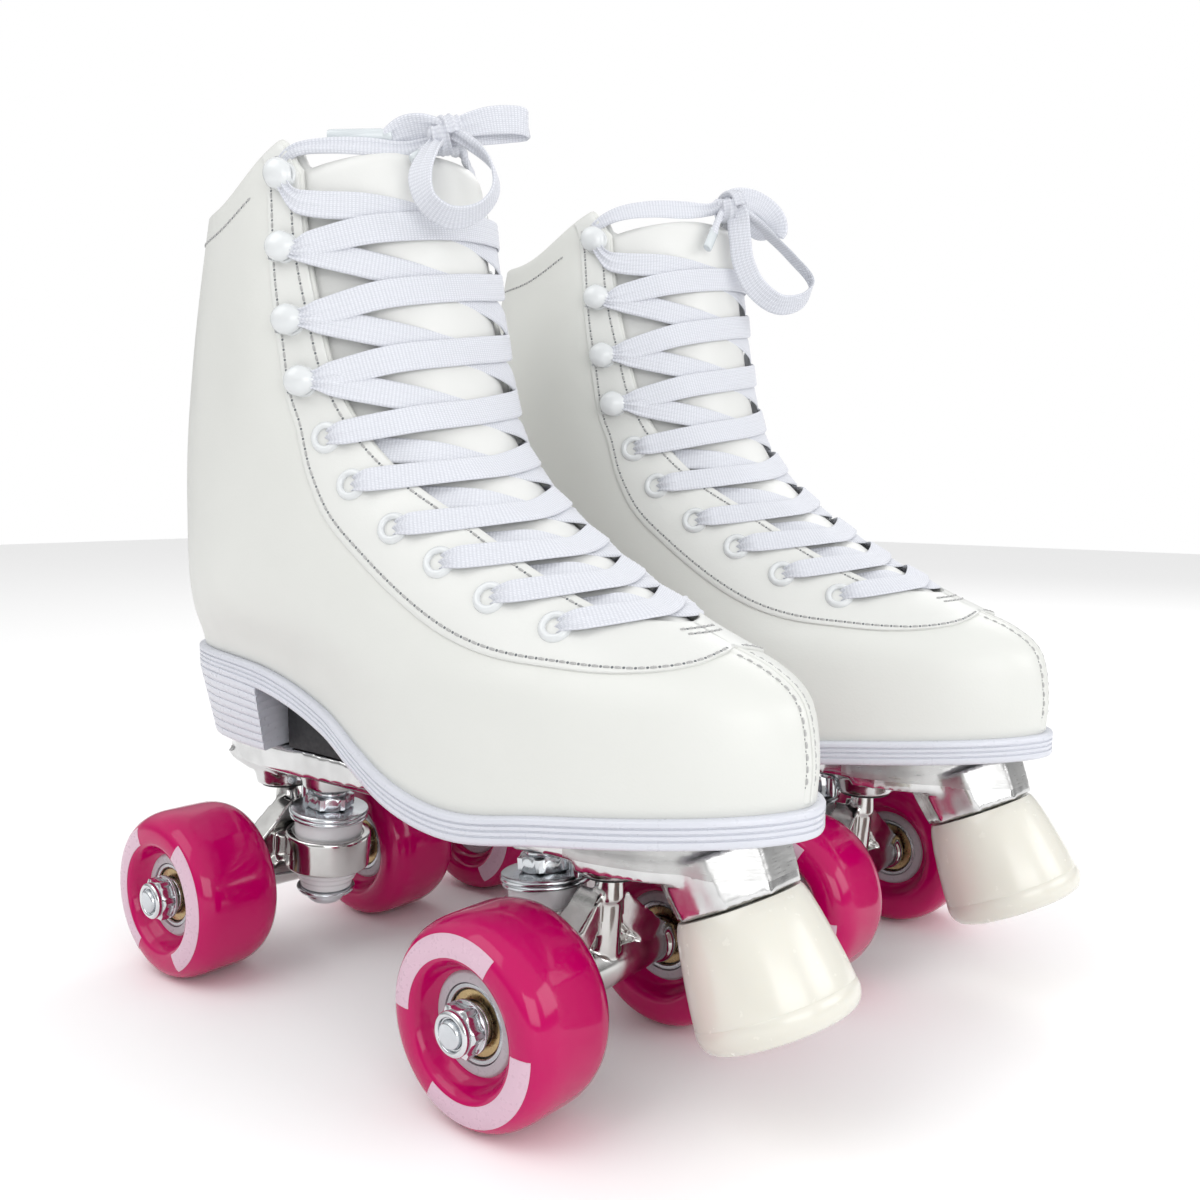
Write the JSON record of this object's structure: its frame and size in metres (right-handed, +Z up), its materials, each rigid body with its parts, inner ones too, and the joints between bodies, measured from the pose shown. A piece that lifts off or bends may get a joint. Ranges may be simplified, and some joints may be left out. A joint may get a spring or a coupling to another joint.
{
  "type": "quad roller skates",
  "caption": "Pair of high-top quad roller skates: white laced boots on metal plates with sprung steering trucks, pink wheels on bearings and rubber toe stops.",
  "frame": {"origin": "middle of the pair's footprint on the floor, under the wheels' lowest line", "axes": "+X to the toes, +Y to the left skate, +Z up"},
  "size_m": [0.2834, 0.2536, 0.2872],
  "materials": {
    "upper": "smooth coated leatherette",
    "tongue": "smooth coated leatherette",
    "insole": "matte",
    "sole": "smooth moulded",
    "baseplate": "polished and brushed",
    "toe_stop": "glossy",
    "truck": "polished",
    "axle": "zinc plated",
    "kingpin": "zinc plated",
    "cushion": "glossy",
    "wheel": "glossy translucent urethane",
    "bearings": "bronze coloured shield",
    "axle_nut": "zinc plated",
    "lace": "flat woven"
  },
  "bodies": {
    "left_skate": {"left_upper": "upper", "left_tongue": "tongue", "left_insole": "insole", "left_sole": "sole", "left_baseplate": "baseplate", "left_lace": "lace", "left_toe_stop": "toe_stop", "left_lace_bow": "lace", "left_front_kingpin": "kingpin", "left_front_upper_cushion": "cushion", "left_front_lower_cushion": "cushion", "left_rear_kingpin": "kingpin", "left_rear_upper_cushion": "cushion", "left_rear_lower_cushion": "cushion"},
    "right_skate": {"right_upper": "upper", "right_tongue": "tongue", "right_insole": "insole", "right_sole": "sole", "right_baseplate": "baseplate", "right_lace": "lace", "right_toe_stop": "toe_stop", "right_lace_bow": "lace", "right_front_kingpin": "kingpin", "right_front_upper_cushion": "cushion", "right_front_lower_cushion": "cushion", "right_rear_kingpin": "kingpin", "right_rear_upper_cushion": "cushion", "right_rear_lower_cushion": "cushion"},
    "right_front_truck": {"right_front_truck": "truck", "right_front_axle": "axle", "right_front_left_axle_nut": "axle_nut", "right_front_right_axle_nut": "axle_nut"},
    "right_front_left_wheel": {"right_front_left_wheel": "wheel", "right_front_left_bearings": "bearings"},
    "right_front_right_wheel": {"right_front_right_wheel": "wheel", "right_front_right_bearings": "bearings"},
    "right_rear_truck": {"right_rear_truck": "truck", "right_rear_axle": "axle", "right_rear_left_axle_nut": "axle_nut", "right_rear_right_axle_nut": "axle_nut"},
    "right_rear_left_wheel": {"right_rear_left_wheel": "wheel", "right_rear_left_bearings": "bearings"},
    "right_rear_right_wheel": {"right_rear_right_wheel": "wheel", "right_rear_right_bearings": "bearings"},
    "left_front_truck": {"left_front_truck": "truck", "left_front_axle": "axle", "left_front_left_axle_nut": "axle_nut", "left_front_right_axle_nut": "axle_nut"},
    "left_front_left_wheel": {"left_front_left_wheel": "wheel", "left_front_left_bearings": "bearings"},
    "left_front_right_wheel": {"left_front_right_wheel": "wheel", "left_front_right_bearings": "bearings"},
    "left_rear_truck": {"left_rear_truck": "truck", "left_rear_axle": "axle", "left_rear_left_axle_nut": "axle_nut", "left_rear_right_axle_nut": "axle_nut"},
    "left_rear_left_wheel": {"left_rear_left_wheel": "wheel", "left_rear_left_bearings": "bearings"},
    "left_rear_right_wheel": {"left_rear_right_wheel": "wheel", "left_rear_right_bearings": "bearings"}
  },
  "joints": [
    {"name": "left_skate_roll", "type": "slide", "parent": "right_skate", "child": "left_skate", "axis": [1, 0, 0], "range_m": [-0.12, 0.12]},
    {"name": "right_front_steer", "type": "hinge", "parent": "right_skate", "child": "right_front_truck", "pos_m": [0.02799, -0.066, 0.038], "axis": [0.7467, 0, 0.6651], "range_deg": [-8, 8], "stiffness_Nm_per_rad": 12, "deforming": ["right_front_upper_cushion", "right_front_lower_cushion"]},
    {"name": "right_front_left_spin", "type": "hinge", "parent": "right_front_truck", "child": "right_front_left_wheel", "pos_m": [0.04769, -0.025, 0.029], "axis": [0, 1, 0], "continuous": true},
    {"name": "right_front_right_spin", "type": "hinge", "parent": "right_front_truck", "child": "right_front_right_wheel", "pos_m": [0.04769, -0.107, 0.029], "axis": [0, 1, 0], "continuous": true},
    {"name": "right_rear_steer", "type": "hinge", "parent": "right_skate", "child": "right_rear_truck", "pos_m": [-0.08261, -0.066, 0.038], "axis": [-0.7467, 0, 0.6651], "range_deg": [-8, 8], "stiffness_Nm_per_rad": 12, "deforming": ["right_rear_upper_cushion", "right_rear_lower_cushion"]},
    {"name": "right_rear_left_spin", "type": "hinge", "parent": "right_rear_truck", "child": "right_rear_left_wheel", "pos_m": [-0.10231, -0.025, 0.029], "axis": [0, 1, 0], "continuous": true},
    {"name": "right_rear_right_spin", "type": "hinge", "parent": "right_rear_truck", "child": "right_rear_right_wheel", "pos_m": [-0.10231, -0.107, 0.029], "axis": [0, 1, 0], "continuous": true},
    {"name": "left_front_steer", "type": "hinge", "parent": "left_skate", "child": "left_front_truck", "pos_m": [0.03959, 0.066, 0.038], "axis": [0.7467, 0, 0.6651], "range_deg": [-8, 8], "stiffness_Nm_per_rad": 12, "deforming": ["left_front_upper_cushion", "left_front_lower_cushion"]},
    {"name": "left_front_left_spin", "type": "hinge", "parent": "left_front_truck", "child": "left_front_left_wheel", "pos_m": [0.05929, 0.107, 0.029], "axis": [0, 1, 0], "continuous": true},
    {"name": "left_front_right_spin", "type": "hinge", "parent": "left_front_truck", "child": "left_front_right_wheel", "pos_m": [0.05929, 0.025, 0.029], "axis": [0, 1, 0], "continuous": true},
    {"name": "left_rear_steer", "type": "hinge", "parent": "left_skate", "child": "left_rear_truck", "pos_m": [-0.07101, 0.066, 0.038], "axis": [-0.7467, 0, 0.6651], "range_deg": [-8, 8], "stiffness_Nm_per_rad": 12, "deforming": ["left_rear_upper_cushion", "left_rear_lower_cushion"]},
    {"name": "left_rear_left_spin", "type": "hinge", "parent": "left_rear_truck", "child": "left_rear_left_wheel", "pos_m": [-0.09071, 0.107, 0.029], "axis": [0, 1, 0], "continuous": true},
    {"name": "left_rear_right_spin", "type": "hinge", "parent": "left_rear_truck", "child": "left_rear_right_wheel", "pos_m": [-0.09071, 0.025, 0.029], "axis": [0, 1, 0], "continuous": true}
  ]
}
